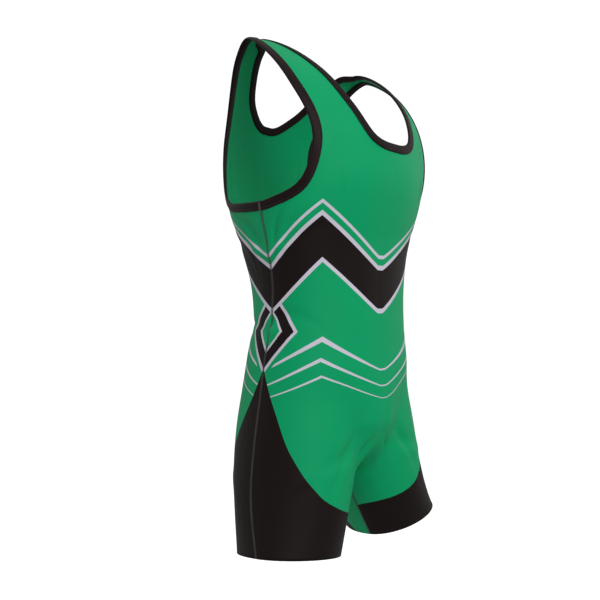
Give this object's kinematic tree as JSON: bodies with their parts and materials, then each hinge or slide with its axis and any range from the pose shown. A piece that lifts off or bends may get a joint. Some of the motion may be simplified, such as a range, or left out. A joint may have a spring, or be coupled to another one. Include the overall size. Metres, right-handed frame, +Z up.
{
  "type": "wrestling singlet",
  "caption": "Sleeveless one-piece wrestling singlet with scooped neck, deep armholes and short legs, in its worn hollow shape.",
  "frame": {"origin": "midway between the two shoulder straps, level with their tops, where the wearer's shoulders hold the garment up", "axes": "+Z up, the front of the garment faces -Y, the wearer's left is +X"},
  "size_m": [0.41, 0.3246, 0.8504],
  "materials": {
    "panel_cloth": "smooth stretch knit with a satin sheen, printed in green, black and pale lavender",
    "binding_cloth": "black folded stretch binding"
  },
  "bodies": {
    "root": {"front_panel": "panel_cloth", "back_panel": "panel_cloth", "neck_binding": "binding_cloth", "armhole_binding_right": "binding_cloth", "armhole_binding_left": "binding_cloth"}
  },
  "joints": []
}
